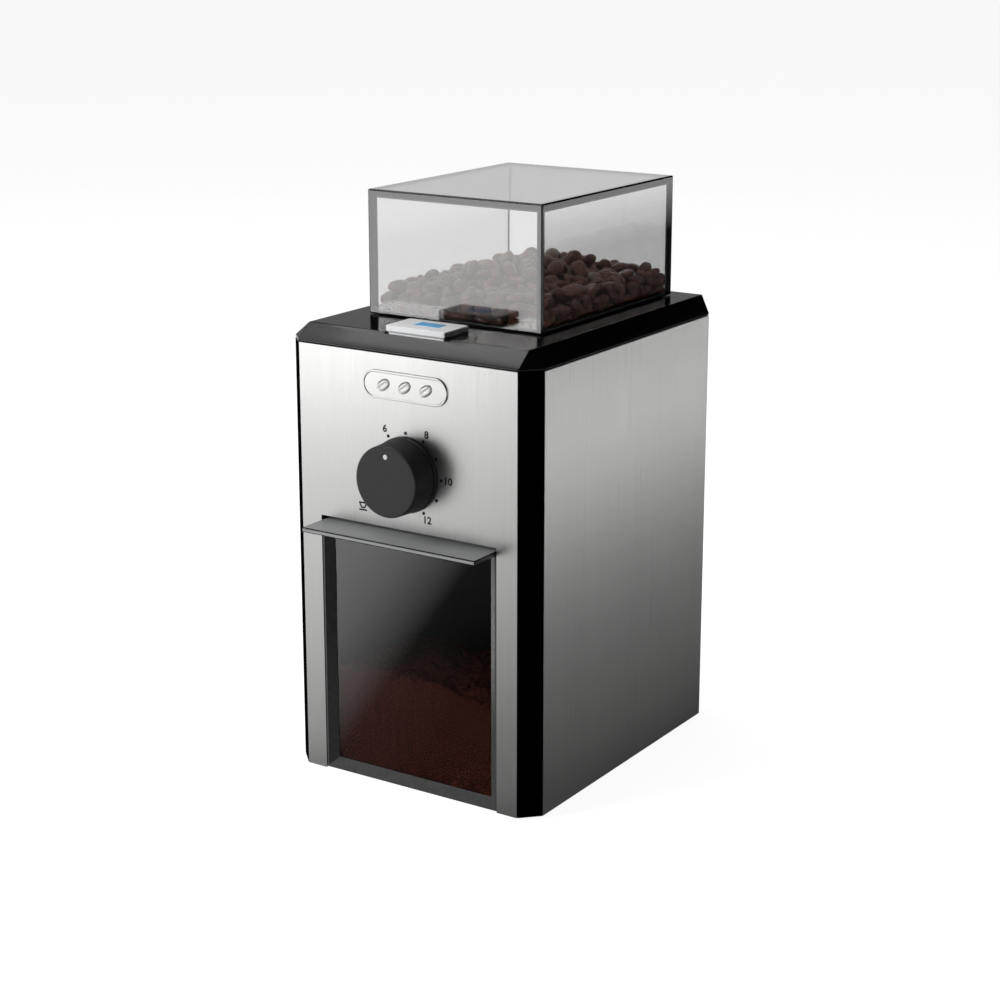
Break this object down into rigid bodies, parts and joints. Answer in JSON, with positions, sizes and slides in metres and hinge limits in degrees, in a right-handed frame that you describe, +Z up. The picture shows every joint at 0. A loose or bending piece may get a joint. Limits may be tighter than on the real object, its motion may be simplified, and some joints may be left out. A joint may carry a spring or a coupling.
{
  "type": "burr coffee grinder",
  "caption": "Upright electric burr coffee grinder with steel panels, clear bean hopper lid, front quantity knob, start button and a slide-out grounds container.",
  "frame": {"origin": "bottom centre of the whole outline, in the plane that the feet stand on", "axes": "+Z up, -Y out of the front with the knob and container, +X to the right seen from the front"},
  "size_m": [0.142, 0.1782, 0.2625],
  "materials": {
    "black_shell": "semi-gloss",
    "steel": "vertical brushing",
    "inner_plastic": "matt",
    "knob_plastic": "fine matt texture",
    "mark": "matt white",
    "rubber": "matt",
    "hardware": "zinc plated",
    "grey_plastic": "matt",
    "burr_steel": "machined",
    "nylon": "moulded",
    "bronze": "sintered",
    "board": "solder mask",
    "silver_plastic": "satin silver",
    "blue_lens": "clear blue",
    "smoked_clear": "lightly smoked clear plastic"
  },
  "bodies": {
    "housing": {"body_shell": "black_shell", "top_cover": "black_shell", "rear_cover": "black_shell", "front_panel": "steel", "left_panel": "steel", "right_panel": "steel", "base_plate": "inner_plastic", "container_bay": "inner_plastic", "bean_hopper": "inner_plastic", "quantity_potentiometer": "inner_plastic", "start_switch": "inner_plastic", "container_interlock": "inner_plastic", "motor_end_cap": "inner_plastic", "field_magnet_left": "inner_plastic", "field_magnet_right": "inner_plastic", "foot_front_left": "rubber", "foot_rear_left": "rubber", "foot_front_right": "rubber", "foot_rear_right": "rubber", "cord_gland": "rubber", "base_screw_front_left": "hardware", "base_screw_rear_left": "hardware", "base_screw_front_right": "hardware", "base_screw_rear_right": "hardware", "motor_can": "hardware", "motor_bracket": "hardware", "button_spring": "hardware", "grinding_chamber": "grey_plastic", "grounds_chute": "grey_plastic", "shaft_bush": "bronze", "control_board": "board", "name_badge": "silver_plastic"},
    "hopper_lid": {"hopper_lid": "smoked_clear"},
    "container": {"grounds_container": "smoked_clear", "container_lid": "smoked_clear"},
    "quantity_knob": {"quantity_knob": "knob_plastic", "quantity_knob_mark": "mark", "quantity_shaft": "hardware"},
    "start_button": {"start_button": "silver_plastic", "button_lens": "blue_lens"},
    "grind_dial": {"grind_dial": "knob_plastic", "grind_dial_mark": "mark", "grind_dial_shaft": "hardware", "adjusting_cam": "nylon"},
    "burr_lift": {"burr_lift_bar": "hardware"},
    "burr_drive": {"burr_shaft": "hardware", "output_gear": "nylon", "sweeper_disc": "inner_plastic", "lower_burr": "burr_steel"},
    "motor_rotor": {"motor_shaft": "hardware", "motor_pinion": "burr_steel", "motor_armature": "burr_steel", "motor_commutator": "bronze", "motor_fan": "nylon"},
    "upper_burr": {"upper_burr_carrier": "inner_plastic", "upper_burr": "burr_steel"}
  },
  "joints": [
    {"name": "hopper_lid_lift", "type": "slide", "parent": "housing", "child": "hopper_lid", "axis": [0, 0, 1], "range_m": [0, 0.065]},
    {"name": "container_slide", "type": "slide", "parent": "housing", "child": "container", "axis": [0, -1, 0], "range_m": [0, 0.08]},
    {"name": "quantity_turn", "type": "hinge", "parent": "housing", "child": "quantity_knob", "pos_m": [0.006, -0.0739, 0.147], "axis": [0, -1, 0], "range_deg": [-150, 150]},
    {"name": "start_press", "type": "slide", "parent": "housing", "child": "start_button", "axis": [0, 0, -1], "range_m": [0, 0.0025], "stiffness_N_per_m": 400, "springref_m": -0.003, "deforming": ["button_spring"]},
    {"name": "grind_dial_turn", "type": "hinge", "parent": "housing", "child": "grind_dial", "pos_m": [-0.059, 0.0191, 0.1192], "axis": [-1, 0, 0], "range_deg": [0, 180]},
    {"name": "burr_lift", "type": "slide", "parent": "housing", "child": "burr_lift", "axis": [0, 0, 1], "range_m": [0, 0.00119]},
    {"name": "burr_spin", "type": "hinge", "parent": "burr_lift", "child": "burr_drive", "pos_m": [0.006, 0.0191, 0.1515], "axis": [0, 0, 1], "continuous": true},
    {"name": "motor_spin", "type": "hinge", "parent": "housing", "child": "motor_rotor", "pos_m": [0.006, 0.0501, 0.1015], "axis": [0, 0, 1], "continuous": true},
    {"name": "upper_burr_release", "type": "hinge", "parent": "housing", "child": "upper_burr", "pos_m": [0.006, 0.0191, 0.1775], "axis": [0, 0, 1], "range_deg": [0, 30]}
  ],
  "couplings": [
    {"joint": "grind_dial_turn", "follows": "burr_lift", "rad_per_m": 2631.6},
    {"joint": "motor_spin", "follows": "burr_spin", "ratio": -4.1667}
  ]
}
